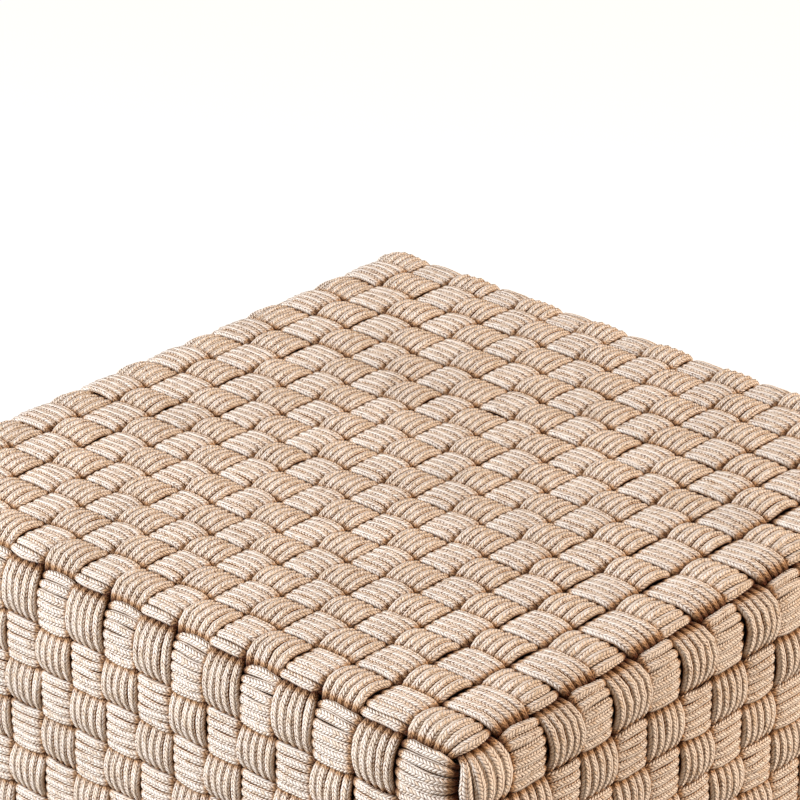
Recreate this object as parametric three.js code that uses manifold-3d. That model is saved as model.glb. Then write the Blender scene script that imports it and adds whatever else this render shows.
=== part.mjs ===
// A square outdoor footstool: flat bands of rope woven over a tube frame, on four glides.
// Millimetres, +Z up. The origin is on the ground under the middle, and the front faces -Y.

import * as THREE from 'three';
import { mergeVertices } from 'three/addons/utils/BufferGeometryUtils.js';
import Module from 'manifold-3d';

// Driving dimensions of the weave.
const bandPitch = 27.2; // one flat band of five cords to the next
const bandsAcross = 16; // bands each way over the top
const hoopsDown = 14; // level bands round the four sides
const weaveCrest = 7.1; // middle of the weave to the back of an over band
const weaveValley = 1.5; // middle of the weave to the dip where four cells meet
const turnedUnderDepth = 5.7; // one layer of cords round the bottom rail

// Driving dimensions of the frame.
const tubeRadius = 11;
const tubeWall = 1.8;
const fittingArm = 24; // corner's middle to the end of a fitting's arm
const spigotLength = 20;
const crossbarRadius = 8;
const crossbarWall = 1.5;
const crossbarCount = 3;

// Driving dimensions of the feet and the strips that hold the cord ends.
const glideRadius = 16;
const glideHeight = 9;
const glideChamfer = 1.5;
const glideSkin = 4; // plastic under the stud
const bossRadius = 7;
const studRadius = 4;
const studReach = 13; // how far the stud stands in the fitting
const stripThickness = 3;
const stripHeight = 14;
const stripEndMargin = 10;

const clearance = 0.3; // between pieces that meet
const cutOverrun = 2; // how far a cutting piece runs past the face that it cuts

const tubeSides = 16;
const spigotSides = 12;
const glideSides = 24;
const arcSteps = 3; // steps of the weave's inner face round half an edge
const turnSteps = 10; // steps of the turned-under cords round the rail

const seamTurn = Math.PI / 4; // two faces of the weave meet halfway round an edge
const hemEndTurn = Math.PI * 13 / 12; // from straight out, under the rail, to just above its inner side

// What follows from them. The weave turns round the rails, so its middle has this radius at every edge.
const edgeRadius = tubeRadius + weaveCrest;
const innerRadius = tubeRadius + clearance;
const edgeArc = seamTurn * edgeRadius;
const seamOpening = clearance / innerRadius / 2; // each face stops this angle short of the shared seam
const topRun = bandsAcross * bandPitch / 2; // over the surface, from the middle of a face to its seam
const sideRun = hoopsDown * bandPitch / 2;
const frameHalf = topRun - edgeArc; // middle of the frame to the axis of a rail
const frameRise = 2 * (sideRun - edgeArc); // axis of a bottom rail to the axis of a top rail
const seamDrop = (edgeRadius + weaveCrest) * Math.sin(seamTurn);
const bottomRailHeight = glideHeight + clearance + seamDrop;
const topRailHeight = bottomRailHeight + frameRise;
const hemRadius = innerRadius + turnedUnderDepth;
const railHalf = frameHalf - fittingArm - clearance;
const hemHalf = frameHalf - hemRadius - clearance;
const stripFace = hemRadius + clearance;
const stripHalf = frameHalf - stripFace - stripThickness - stripEndMargin;

const ropeColour = 0xdec4a6;
const frameColour = 0xb8a78e;
const glideColour = 0x4b453e;
const steelColour = 0xb9b9b5;

const wasm = await Module();
wasm.setup();

/** A mesh's shared corners are merged, and triangles that shrank to a line are dropped. */
function closedGeometry(source) {
  const bare = source.index ? source.toNonIndexed() : source.clone();
  for (const name of Object.keys(bare.attributes)) {
    if (name !== 'position') bare.deleteAttribute(name);
  }
  const merged = mergeVertices(bare);
  const kept = [];
  for (let i = 0; i < merged.index.count; i += 3) {
    const [a, b, c] = [0, 1, 2].map((corner) => merged.index.getX(i + corner));
    if (a !== b && b !== c && c !== a) kept.push(a, b, c);
  }
  merged.setIndex(kept);
  return merged;
}

function toSolid(geometry) {
  const { index, attributes } = closedGeometry(geometry);
  const vertProperties = new Float32Array(attributes.position.array);
  const triVerts = new Uint32Array(index.array);
  return new wasm.Manifold(new wasm.Mesh({ numProp: 3, vertProperties, triVerts }));
}

function toGeometry(solid) {
  const { numProp, vertProperties, triVerts } = solid.getMesh();
  const places = [];
  for (let i = 0; i < vertProperties.length; i += numProp) {
    places.push(...vertProperties.slice(i, i + 3));
  }
  const geometry = new THREE.BufferGeometry();
  geometry.setAttribute('position', new THREE.Float32BufferAttribute(places, 3));
  geometry.setIndex([...triVerts]);
  return geometry;
}

/** A profile of [radius, height] points turned about Z. It starts and ends on the axis or on itself. */
function turned(profile, sides) {
  const points = profile.map(([radius, height]) => new THREE.Vector2(radius, height));
  return new THREE.LatheGeometry(points, sides).rotateX(Math.PI / 2);
}

/** A solid rod along Z between two heights. */
function rod(radius, low, high, sides) {
  return turned([[0, low], [radius, low], [radius, high], [0, high]], sides);
}

/** An open tube along Z, centred on the origin. */
function tube(radius, wall, half, sides) {
  const bore = radius - wall;
  return turned([[bore, -half], [radius, -half], [radius, half], [bore, half], [bore, -half]], sides);
}

/** Gathers triangles, given as corners in the order that shows from outside. */
class Facets {
  constructor() {
    this.places = [];
  }

  triangle(a, b, c, flipped = false) {
    for (const corner of flipped ? [a, c, b] : [a, b, c]) this.places.push(...corner.toArray());
  }

  quad(a, b, c, d, flipped = false) {
    this.triangle(a, b, c, flipped);
    this.triangle(a, c, d, flipped);
  }

  geometry() {
    const geometry = new THREE.BufferGeometry();
    geometry.setAttribute('position', new THREE.Float32BufferAttribute(this.places, 3));
    return geometry;
  }
}

/**
 * A point on or off the middle of the weave. u and v are measured over the surface from the middle of the
 * face. Past the frame's edge each of them turns round the rail, so that edges and corners are rounded.
 */
function weavePoint(u, v, height, coreU, coreV) {
  const turn = (run, core) => Math.sign(run) * Math.max(Math.abs(run) - core, 0) / edgeRadius;
  const out = new THREE.Vector3(Math.tan(turn(u, coreU)), Math.tan(turn(v, coreV)), 1).normalize();
  const { clamp } = THREE.MathUtils;
  return new THREE.Vector3(clamp(u, -coreU, coreU), clamp(v, -coreV, coreV), 0)
    .addScaledVector(out, edgeRadius + height);
}

/** The lines between the bands, with the outer two just short of the seam. */
function bandLines(count) {
  const run = count * bandPitch / 2;
  const inset = seamOpening * edgeRadius;
  return Array.from({ length: count + 1 }, (_, line) => (
    line === 0 ? inset - run : line === count ? run - inset : line * bandPitch - run
  ));
}

/** Places over one cell, or over a whole seam: an outer cell has one more, because it is bent. */
function cellPlaces(lines, cell) {
  const bent = cell === 0 || cell === lines.length - 2;
  const middle = (lines[cell] + lines[cell + 1]) / 2;
  return bent ? [lines[cell], middle, lines[cell + 1]] : [lines[cell], lines[cell + 1]];
}

function seamPlaces(lines) {
  const inner = lines.slice(0, -1).flatMap((_, cell) => cellPlaces(lines, cell).slice(0, -1));
  return [...inner, lines.at(-1)];
}

/** Places over the weave's inner face: flat between the rails, and stepped round them. */
function innerPlaces(lines, core) {
  const seam = lines.at(-1);
  const steps = Array.from({ length: arcSteps + 1 }, (_, i) => core + (seam - core) * i / arcSteps);
  return [...steps.map((place) => -place).reverse(), ...steps];
}

/** One over cell: a ridge across its band, sloped down to both ends, with an upright gable at each side. */
function addCell(facets, at, alongPlaces, acrossPlaces, flipped) {
  const [start, end] = [alongPlaces[0], alongPlaces.at(-1)];
  const crest = (start + end) / 2;
  const low = (along, across) => at(along, across, weaveValley);
  const high = (across) => at(crest, across, weaveCrest);
  for (let i = 0; i + 1 < acrossPlaces.length; i += 1) {
    const [near, far] = [acrossPlaces[i], acrossPlaces[i + 1]];
    facets.quad(low(start, near), high(near), high(far), low(start, far), flipped);
    facets.quad(high(near), low(end, near), low(end, far), high(far), flipped);
  }
  for (let i = 0; i + 1 < alongPlaces.length; i += 1) {
    const [near, far] = [alongPlaces[i], alongPlaces[i + 1]];
    const [first, last] = [acrossPlaces[0], acrossPlaces.at(-1)];
    facets.triangle(low(near, first), low(far, first), high(first), flipped);
    facets.triangle(low(far, last), low(near, last), high(last), flipped);
  }
}

/** The wall in a seam, between the low line of the outer face and the inner face. */
function addSeamWall(facets, outer, inner, flipped) {
  let [i, j] = [0, 0];
  while (i < outer.length - 1 || j < inner.length - 1) {
    const outerNext = i < outer.length - 1 ? outer[i + 1].place : Infinity;
    const innerNext = j < inner.length - 1 ? inner[j + 1].place : Infinity;
    if (outerNext <= innerNext) {
      facets.triangle(outer[i].point, inner[j].point, outer[i + 1].point, flipped);
      i += 1;
    } else {
      facets.triangle(inner[j].point, inner[j + 1].point, outer[i].point, flipped);
      j += 1;
    }
  }
}

/** One woven face, lying flat with its outer side up: bands along u and v pass over each other in turn. */
function wovenFace(columns, rows) {
  const [uLines, vLines] = [bandLines(columns), bandLines(rows)];
  const [coreU, coreV] = [columns * bandPitch / 2 - edgeArc, rows * bandPitch / 2 - edgeArc];
  const point = (u, v, height) => weavePoint(u, v, height, coreU, coreV);
  const acrossPoint = (v, u, height) => point(u, v, height);
  const facets = new Facets();
  for (let column = 0; column < columns; column += 1) {
    for (let row = 0; row < rows; row += 1) {
      const [uPlaces, vPlaces] = [cellPlaces(uLines, column), cellPlaces(vLines, row)];
      const rowFromTop = rows - 1 - row;
      if ((column + rowFromTop) % 2 === 1) addCell(facets, point, uPlaces, vPlaces, false);
      else addCell(facets, acrossPoint, vPlaces, uPlaces, true);
    }
  }
  const [uInner, vInner] = [innerPlaces(uLines, coreU), innerPlaces(vLines, coreV)];
  const innerPoint = (u, v) => point(u, v, innerRadius - edgeRadius);
  for (let i = 0; i + 1 < uInner.length; i += 1) {
    for (let j = 0; j + 1 < vInner.length; j += 1) {
      const corners = [[i, j], [i + 1, j], [i + 1, j + 1], [i, j + 1]];
      facets.quad(...corners.map(([a, b]) => innerPoint(uInner[a], vInner[b])), true);
    }
  }
  for (const side of [-1, 1]) {
    const [uSeam, vSeam] = [side * uLines.at(-1), side * vLines.at(-1)];
    const outerU = seamPlaces(vLines).map((v) => ({ place: v, point: point(uSeam, v, weaveValley) }));
    const innerU = vInner.map((v) => ({ place: v, point: innerPoint(uSeam, v) }));
    addSeamWall(facets, outerU, innerU, side < 0);
    const outerV = seamPlaces(uLines).map((u) => ({ place: u, point: point(u, vSeam, weaveValley) }));
    const innerV = uInner.map((u) => ({ place: u, point: innerPoint(u, vSeam) }));
    addSeamWall(facets, outerV, innerV, side > 0);
  }
  return facets.geometry();
}

/** The cords turned under a bottom rail: part of a ring round it, outwards as +X and up as +Y, along Z. */
function turnedUnderCords() {
  const start = seamTurn + seamOpening;
  const ring = (radius) => Array.from({ length: turnSteps + 1 }, (_, i) => {
    const turn = -THREE.MathUtils.lerp(start, hemEndTurn, i / turnSteps);
    return new THREE.Vector2(radius * Math.cos(turn), radius * Math.sin(turn));
  });
  const outline = new THREE.Shape([...ring(hemRadius), ...ring(innerRadius).reverse()]);
  const length = 2 * hemHalf;
  const settings = { depth: length, bevelEnabled: false, steps: 1 };
  return new THREE.ExtrudeGeometry(outline, settings).translate(0, 0, -hemHalf);
}

/** A corner fitting with arms along +X, +Y and up or down, each ending in a spigot for its tube. */
function cornerFitting(upright, boss) {
  const arms = [new THREE.Vector3(1, 0, 0), new THREE.Vector3(0, 1, 0), new THREE.Vector3(0, 0, upright)];
  const ballRadius = tubeRadius * Math.cos(Math.PI / tubeSides);
  let body = toSolid(new THREE.SphereGeometry(ballRadius, tubeSides, tubeSides / 2));
  const spigotRadius = tubeRadius - tubeWall - clearance;
  for (const direction of arms) {
    const turn = new THREE.Quaternion().setFromUnitVectors(new THREE.Vector3(0, 0, 1), direction);
    const arm = rod(tubeRadius, 0, fittingArm, tubeSides).applyQuaternion(turn);
    const spigot = rod(spigotRadius, 0, fittingArm + spigotLength, spigotSides).applyQuaternion(turn);
    body = body.add(toSolid(arm)).add(toSolid(spigot));
  }
  if (boss) {
    body = body.add(toSolid(rod(bossRadius, -seamDrop, 0, tubeSides)));
    const top = studReach + clearance - seamDrop;
    body = body.subtract(toSolid(rod(studRadius + clearance, -seamDrop - cutOverrun, top, tubeSides)));
  }
  return toGeometry(body);
}

/** A foot: a disc with a chamfered rim, flat underneath, with a blind hole for its stud. */
function glide() {
  const hole = studRadius + clearance;
  const flat = glideRadius - glideChamfer;
  const profile = [
    [0, 0], [flat, 0], [glideRadius, glideChamfer], [glideRadius, glideHeight - glideChamfer],
    [flat, glideHeight], [hole, glideHeight], [hole, glideSkin], [0, glideSkin],
  ];
  return turned(profile, glideSides);
}

function stud() {
  const top = glideHeight + clearance + studReach;
  return rod(studRadius, glideSkin + clearance, top, spigotSides);
}

const footstool = new THREE.Group();

/** Makes a named piece from a geometry, with a material of its own, and hangs it in a group. */
function addPiece(group, name, geometry, color, roughness, metalness) {
  const material = new THREE.MeshStandardMaterial({ color, roughness, metalness });
  const closed = closedGeometry(geometry);
  closed.computeVertexNormals();
  const piece = new THREE.Mesh(closed, material);
  piece.name = name;
  group.add(piece);
  return piece;
}

const rope = [ropeColour, 0.85, 0];
const paint = [frameColour, 0.55, 0.1];
const plastic = [glideColour, 0.6, 0];
const steel = [steelColour, 0.35, 1];
const quarterTurn = Math.PI / 2;

/** What one side of the footstool has, built as the front and turned to its place. */
function addSide(side, corner, quarter) {
  const group = new THREE.Group();
  group.rotation.z = quarter * quarterTurn;
  footstool.add(group);
  const middle = (bottomRailHeight + topRailHeight) / 2;

  const face = addPiece(group, `woven_${side}`, wovenFace(bandsAcross, hoopsDown), ...rope);
  face.rotation.x = quarterTurn;
  face.position.set(0, -frameHalf, middle);

  for (const [level, height] of [['top', topRailHeight], ['bottom', bottomRailHeight]]) {
    const rail = addPiece(group, `${level}_rail_${side}`, tube(tubeRadius, tubeWall, railHalf, tubeSides), ...paint);
    rail.rotation.y = quarterTurn;
    rail.position.set(0, -frameHalf, height);
  }

  const out = new THREE.Matrix4().makeBasis(
    new THREE.Vector3(0, -1, 0), new THREE.Vector3(0, 0, 1), new THREE.Vector3(-1, 0, 0),
  );
  const under = addPiece(group, `turned_under_cords_${side}`, turnedUnderCords().applyMatrix4(out), ...rope);
  under.position.set(0, -frameHalf, bottomRailHeight);

  const bar = new THREE.BoxGeometry(2 * stripHalf, stripThickness, stripHeight);
  const strip = addPiece(group, `cord_end_strip_${side}`, bar, ...paint);
  strip.position.set(0, stripFace + stripThickness / 2 - frameHalf, bottomRailHeight);

  const postHalf = frameRise / 2 - fittingArm - clearance;
  const post = addPiece(group, `post_${corner}`, tube(tubeRadius, tubeWall, postHalf, tubeSides), ...paint);
  post.position.set(-frameHalf, -frameHalf, middle);

  const upper = addPiece(group, `top_corner_fitting_${corner}`, cornerFitting(-1, false), ...paint);
  upper.position.set(-frameHalf, -frameHalf, topRailHeight);
  const lower = addPiece(group, `bottom_corner_fitting_${corner}`, cornerFitting(1, true), ...paint);
  lower.position.set(-frameHalf, -frameHalf, bottomRailHeight);

  const foot = addPiece(group, `glide_${corner}`, glide(), ...plastic);
  foot.position.set(-frameHalf, -frameHalf, 0);
  const pin = addPiece(group, `glide_stud_${corner}`, stud(), ...steel);
  pin.position.set(-frameHalf, -frameHalf, 0);
}

/** Bars from the front rail to the back one, level with the rails' tops, that carry the woven top. */
function addCrossbars() {
  const half = frameHalf - tubeRadius - clearance;
  for (let i = 0; i < crossbarCount; i += 1) {
    const place = frameHalf * (2 * (i + 1) / (crossbarCount + 1) - 1);
    const bar = addPiece(
      footstool, `crossbar_${i + 1}`, tube(crossbarRadius, crossbarWall, half, tubeSides), ...paint,
    );
    bar.rotation.x = quarterTurn;
    bar.position.set(place, 0, topRailHeight + tubeRadius - crossbarRadius);
  }
}

const top = addPiece(footstool, 'woven_top', wovenFace(bandsAcross, bandsAcross), ...rope);
top.position.z = topRailHeight;

const sides = ['front', 'right', 'back', 'left'];
const corners = ['front_left', 'front_right', 'back_right', 'back_left'];
sides.forEach((side, quarter) => addSide(side, corners[quarter], quarter));
addCrossbars();

export default footstool;
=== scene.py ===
"""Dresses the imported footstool: flat bands of braided rope woven over a tube frame, in a studio.

The camera has the photograph's view. Lengths are metres, +Z is up, and the front faces -Y.
"""

import logging
import math
from dataclasses import dataclass
from enum import Enum
from functools import partial
from typing import Callable, Iterator

import bpy
import numpy as np
import numpy.typing as npt
from mathutils import Matrix, Vector

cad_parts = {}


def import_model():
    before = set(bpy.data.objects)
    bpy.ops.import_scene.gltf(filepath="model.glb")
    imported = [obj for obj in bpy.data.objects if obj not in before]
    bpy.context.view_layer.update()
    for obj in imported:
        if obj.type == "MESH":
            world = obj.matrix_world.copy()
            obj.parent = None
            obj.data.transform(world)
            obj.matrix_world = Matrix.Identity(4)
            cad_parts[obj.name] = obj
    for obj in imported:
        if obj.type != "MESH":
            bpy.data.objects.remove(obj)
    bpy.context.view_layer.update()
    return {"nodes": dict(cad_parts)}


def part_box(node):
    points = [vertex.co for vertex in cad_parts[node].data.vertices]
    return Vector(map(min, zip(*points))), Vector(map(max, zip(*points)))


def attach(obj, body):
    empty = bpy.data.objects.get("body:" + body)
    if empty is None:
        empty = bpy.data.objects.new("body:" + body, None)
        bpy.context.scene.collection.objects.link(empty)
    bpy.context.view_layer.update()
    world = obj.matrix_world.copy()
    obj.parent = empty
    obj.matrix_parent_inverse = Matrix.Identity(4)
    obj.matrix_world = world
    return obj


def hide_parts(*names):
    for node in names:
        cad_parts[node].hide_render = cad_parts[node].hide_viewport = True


Array = npt.NDArray[np.float64]
Colour = tuple[float, float, float, float]
Adder = Callable[..., bpy.types.Node]  # add_node with its tree
Material = bpy.types.Material
Link = bpy.types.NodeSocket | bpy.types.Node  # a node stands for its first output
Pair = tuple[float, float]
Point = tuple[float, float, float]
Rng = np.random.Generator

MM = 0.001
LOG = logging.getLogger("footstool")
SEED = 27
RENDER_SIDE = 800  # pixels of the square picture
WHITE = "#FFFFFF"
MIXED_COLOUR = 2  # the output of a mix node that holds its colour
CLOUD_SPAN = (0.3, 0.7)  # where most of a soft noise lies
BODY = "root"  # the only one, because nothing on the footstool moves


class RopeShading(Enum):
    """Two copies of the rope: the second is darker, as painted shade for the bands along Y."""

    UNSHADED = "paler"
    PAINTED_SHADE = "deeper"


def linear(colour: str, share: float = 1.0) -> Colour:
    """Turns an sRGB hex colour into linear RGBA.

    Args:
        colour: six hex digits after a hash sign.
        share: of its light, for a darker colour.

    Returns:
        Red, green, blue and an alpha of one.
    """
    levels = [int(colour[i : i + 2], 16) / 255 for i in (1, 3, 5)]
    curve = [s / 12.92 if s <= 0.04045 else ((s + 0.055) / 1.055) ** 2.4 for s in levels]
    return curve[0] * share, curve[1] * share, curve[2] * share, 1.0


def add_node(
    tree: bpy.types.NodeTree, kind: str, *values: object, **settings: object
) -> bpy.types.Node:
    """Adds a shader node with its settings, values and links.

    Args:
        tree: where the node goes.
        kind: Blender's name for it, after the words that all of them begin with.
        values: its inputs in order, or one dict of them by identifier, name or number. Each is a
            value, or the socket or node that is linked to it.
        settings: the node's own properties.

    Returns:
        The new node.
    """
    made = tree.nodes.new(f"ShaderNode{kind}")
    for name, value in settings.items():
        setattr(made, name, value)
    inputs = values[0] if values and isinstance(values[0], dict) else dict(enumerate(values))
    for key, value in inputs.items():
        socket = next((entry for entry in made.inputs if entry.identifier == key), None)
        socket = made.inputs[key] if socket is None else socket
        value = value.outputs[0] if isinstance(value, bpy.types.Node) else value
        if isinstance(value, bpy.types.NodeSocket):
            tree.links.new(value, socket)
        else:
            socket.default_value = value
    return made


def set_stops(ramp: bpy.types.ColorRamp, *stops: tuple[float, str]) -> None:
    """Gives a colour ramp its stops.

    Args:
        ramp: a new one, which has two stops.
        stops: places and hex colours, in order.
    """
    for place, _ in stops[1:-1]:
        ramp.elements.new(place)
    for element, (place, colour) in zip(ramp.elements, stops):
        element.position, element.color = place, linear(colour)


def cloud_noise(add: Adder, size: float) -> Link:
    """A soft noise over the object's own coordinates, with clouds of about that size in metres."""
    place = add("TexCoord").outputs["Object"]
    return add("TexNoise", {"Vector": place, "Scale": 1 / size, "Detail": 2.0})


def finish_material(
    add: Adder, look: dict, height: Link | None = None, depth: float = 0.0
) -> None:
    """Ends a material's nodes in a surface shader.

    Args:
        add: adds a node to the material.
        look: the shader's inputs.
        height: the relief as a share of its depth, if there is any.
        depth: the depth of the relief in metres.
    """
    if height is not None:
        bump = add("Bump", {"Height": height, "Distance": depth})
        look = {**look, "Normal": bump}
    add("OutputMaterial", add("BsdfPrincipled", look))


def blank_material(name: str) -> tuple[Material, Adder]:
    """Makes a material with no nodes in it yet.

    Args:
        name: of the material.

    Returns:
        The material, and what adds a node to it.
    """
    material = bpy.data.materials.new(name)
    material.use_nodes = True
    material.node_tree.nodes.clear()
    return material, partial(add_node, material.node_tree)


# The finishes.


@dataclass(frozen=True)
class BraidedRope:
    """Solution-dyed polyolefin cord, braided from fine yarns: matt, with a close herringbone.

    The cord's map runs in metres, along the cord and round it. Round it there are columns of
    stitches that slant to the left and to the right in turn, as a braid's strands do. Shade is
    painted into the colour, a darker brown where less light falls: between two cords, on a
    cord's underside, and where it dives under others.
    """

    name: str = "braided_polyolefin_rope"
    pale_yarn: str = "#F5EBE0"
    main_yarn: str = "#F0E1D2"
    dark_yarn: str = "#E0CBB4"
    main_from: float = 0.2  # the share of stitches between the dark yarn and the main one
    between: str = "#663814"  # painted shade in the pits between the stitches
    half_painted_shade_colour: str = "#D2B392"  # painted shade: these two are the darker colours that the shade mask brings to the yarns
    painted_shade_colour: str = "#5B3114"
    half_shade_mask: float = 0.45
    stitch: float = 2.1 * MM
    columns: int = 8
    slant: float = 0.9  # of a stitch, over one column
    fullness: float = 0.5  # power on a stitch's waves: less is fuller
    relief: float = 0.75 * MM
    cloud: float = 55 * MM  # from one paler stretch to the next
    tones: Pair = (0.93, 1.04)  # the light of the darkest and the palest stretch
    fleck: float = 3.5 * MM  # from one loose place in the braid to the next
    flecking: Pair = (1.1, -0.5)  # factor and sum that bring it to the swell
    filled: Pair = (0.08, 0.5)  # the swell of a pit and of a full stitch
    jag: float = 0.3  # of the swell, taken off the groove
    groove_step: Pair = (-0.05, 0.4)  # from lit to full painted shade, as are these two
    rise_step: Pair = (0.82, 0.08)
    up_step: Pair = (0.1, -0.5)
    roughness: float = 0.85
    specular: float = 0.12
    sheen: float = 0.05

    def stitches(self, add: Adder, girth: float) -> tuple[Link, Link]:
        """Divides the cord's map into stitches.

        The columns lean by a triangle wave of the place round the cord. A stitch swells as the
        product of two half sines over its own length and width, raised to a power.

        Args:
            add: adds a node to the material.
            girth: the cord's length round.

        Returns:
            The swell, from nought at a stitch's edge to one, and a random share for each stitch.
        """
        uv = add("UVMap", uv_map="cord")
        scale = (1 / self.stitch, self.columns / girth, 0.0)
        scaled = add("VectorMath", uv, scale, operation="MULTIPLY")
        place = add("SeparateXYZ", scaled).outputs
        zigzag = add("Math", place["Y"], 1.0, operation="PINGPONG")
        along = add("Math", zigzag, self.slant, place["X"], operation="MULTIPLY_ADD")
        lattice = add("CombineXYZ", along, place["Y"])
        stitch = add("VectorMath", lattice, operation="FLOOR")
        within = add("VectorMath", lattice, operation="FRACTION")
        half = add("VectorMath", {0: within, "Scale": math.pi}, operation="SCALE")
        waves = add("VectorMath", half, operation="SINE")
        wave = add("SeparateXYZ", waves).outputs
        product = add("Math", wave["X"], wave["Y"], operation="MULTIPLY")
        swell = add("Math", product, self.fullness, operation="POWER")
        chance = add("TexWhiteNoise", {"Vector": stitch}, noise_dimensions="2D")
        return swell, chance.outputs["Value"]

    def shade_mask(self, add: Adder, girth: float, swell: Link) -> Link:
        """Says how much shade is painted at a place.

        It is the largest of three smooth steps: on the mesh's groove attribute less a share of
        the stitch's swell, for jagged lines between neighbouring cords; on the mesh's rise, for
        the ends that dive under another band; and on the sine of the angle round the cord, for
        its underside.

        Args:
            add: adds a node to the material.
            girth: the cord's length round.
            swell: the stitches' swell.

        Returns:
            The share of painted shade, from nought to one.
        """
        uv = add("UVMap", uv_map="cord")
        around = add("SeparateXYZ", uv).outputs["Y"]
        turn = add("Math", around, 2 * math.pi / girth, operation="MULTIPLY")
        up = add("Math", turn, operation="SINE")
        groove = add("Attribute", attribute_name="groove").outputs["Fac"]
        rise = add("Attribute", attribute_name="rise").outputs["Fac"]
        jagged = add("Math", swell, -self.jag, groove, operation="MULTIPLY_ADD")
        pairs = ((jagged, self.groove_step), (rise, self.rise_step), (up, self.up_step))
        steps = [
            add("MapRange", value, *step, interpolation_type="SMOOTHSTEP")
            for value, step in pairs
        ]
        larger = add("Math", steps[0], steps[1], operation="MAXIMUM")
        return add("Math", larger, steps[2], operation="MAXIMUM")

    def material(self, girth: float) -> Material:
        """Builds the material.

        Each stitch has a chance yarn, and slow clouds change its light. Where the swell and the
        flecks' noise are low, the pits' painted shade shows. The painted shade's ramp is multiplied
        in.

        Args:
            girth: the cord's length round.

        Returns:
            The material of a cord of that girth.
        """
        material, add = blank_material(self.name)
        swell, chance = self.stitches(add, girth)
        heather = add("ValToRGB", chance)
        yarns = (0.0, self.dark_yarn), (self.main_from, self.main_yarn), (1.0, self.pale_yarn)
        set_stops(heather.color_ramp, *yarns)
        cloud = cloud_noise(add, self.cloud)
        tone = add("MapRange", cloud, *CLOUD_SPAN, *self.tones)
        toned = add("VectorMath", {0: heather, "Scale": tone}, operation="SCALE")
        fleck = cloud_noise(add, self.fleck)
        # the flecks' noise: where it is low, more of the pits' painted shade shows
        worn = add("Math", fleck, *self.flecking, operation="MULTIPLY_ADD")
        packed = add("Math", swell, worn, operation="ADD")
        fill = add("MapRange", packed, *self.filled)
        ends = {"Factor_Float": fill, "A_Color": linear(self.between), "B_Color": toned}
        stitched = add("Mix", ends, data_type="RGBA").outputs[MIXED_COLOUR]
        # painted shade: a ramp from white to dark brown over the shade mask, multiplied into the
        # colour
        depth = add("ValToRGB", self.shade_mask(add, girth, swell))
        half = (self.half_shade_mask, self.half_painted_shade_colour)
        set_stops(depth.color_ramp, (0.0, WHITE), half, (1.0, self.painted_shade_colour))
        look = {
            "Base Color": add("VectorMath", stitched, depth, operation="MULTIPLY"),
            "Roughness": self.roughness,
            "Specular IOR Level": self.specular,
            "Sheen Weight": self.sheen,
        }
        finish_material(add, look, swell, self.relief)
        return material


ROPES = {
    RopeShading.UNSHADED: BraidedRope(),
    # a darker copy of the rope, as painted shade for the bands along Y
    RopeShading.PAINTED_SHADE: BraidedRope(
        name="braided_polyolefin_rope_painted_shade",
        pale_yarn="#F2E5D9",
        main_yarn="#E8D6C2",
        dark_yarn="#DCC7AF",
    ),
}


@dataclass(frozen=True)
class PowderCoat:
    """Polyester powder coat baked on aluminium: satin, with the faint orange peel of the powder."""

    name: str
    colour: str = "#B8A78E"
    shade: float = 0.93  # of the colour's light, in the darker clouds
    cloud: float = 60 * MM
    peel: float = 1.6 * MM  # from one ripple to the next
    ripple: float = 0.04 * MM
    roughness: float = 0.42
    gloss_span: Pair = (-0.04, 0.05)  # added to the roughness over the clouds

    def material(self) -> Material:
        """Mottles the colour and the gloss slowly, and ripples the surface with a fine noise.

        Returns:
            The material of a coated part.
        """
        material, add = blank_material(self.name)
        cloud = cloud_noise(add, self.cloud)
        dark, pale = linear(self.colour, self.shade), linear(self.colour)
        ends = {"Factor_Float": cloud, "A_Color": dark, "B_Color": pale}
        colour = add("Mix", ends, data_type="RGBA").outputs[MIXED_COLOUR]
        gloss = (self.roughness + change for change in self.gloss_span)
        rough = add("MapRange", cloud, *CLOUD_SPAN, *gloss)
        look = {"Base Color": colour, "Roughness": rough}
        finish_material(add, look, cloud_noise(add, self.peel), self.ripple)
        return material


@dataclass(frozen=True)
class MouldedPlastic:
    """Polypropylene from a spark-eroded mould: matt, with a fine even grain and paler scuffs."""

    name: str = "moulded_polypropylene"
    colour: str = "#4B453E"
    scuff: str = "#6A635A"
    streaks: Point = (30.0, 260.0, 30.0)  # to a metre: each is 33 mm long and 4 mm wide
    scuffed: tuple[float, ...] = (0.55, 0.75, 0.0, 0.6)  # from noise to the scuffs' share
    dulling: float = 0.15  # added to the roughness by a scuff
    grain: float = 0.9 * MM  # coarser than the real one, so that it shows
    depth: float = 0.05 * MM
    roughness: float = 0.58

    def material(self) -> Material:
        """Raises the grain from a noise, and lays scuffs where a stretched noise is high.

        Returns:
            The material of a moulded part.
        """
        material, add = blank_material(self.name)
        place = add("TexCoord").outputs["Object"]
        stretched = add("VectorMath", place, self.streaks, operation="MULTIPLY")
        noise = {"Vector": stretched, "Scale": 1.0, "Detail": 4.0}
        scuffed = add("MapRange", add("TexNoise", noise), *self.scuffed)
        clean, worn = linear(self.colour), linear(self.scuff)
        ends = {"Factor_Float": scuffed, "A_Color": clean, "B_Color": worn}
        colour = add("Mix", ends, data_type="RGBA").outputs[MIXED_COLOUR]
        dulled = (scuffed, self.dulling, self.roughness)
        rough = add("Math", *dulled, operation="MULTIPLY_ADD")
        look = {"Base Color": colour, "Roughness": rough}
        finish_material(add, look, cloud_noise(add, self.grain), self.depth)
        return material


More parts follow.
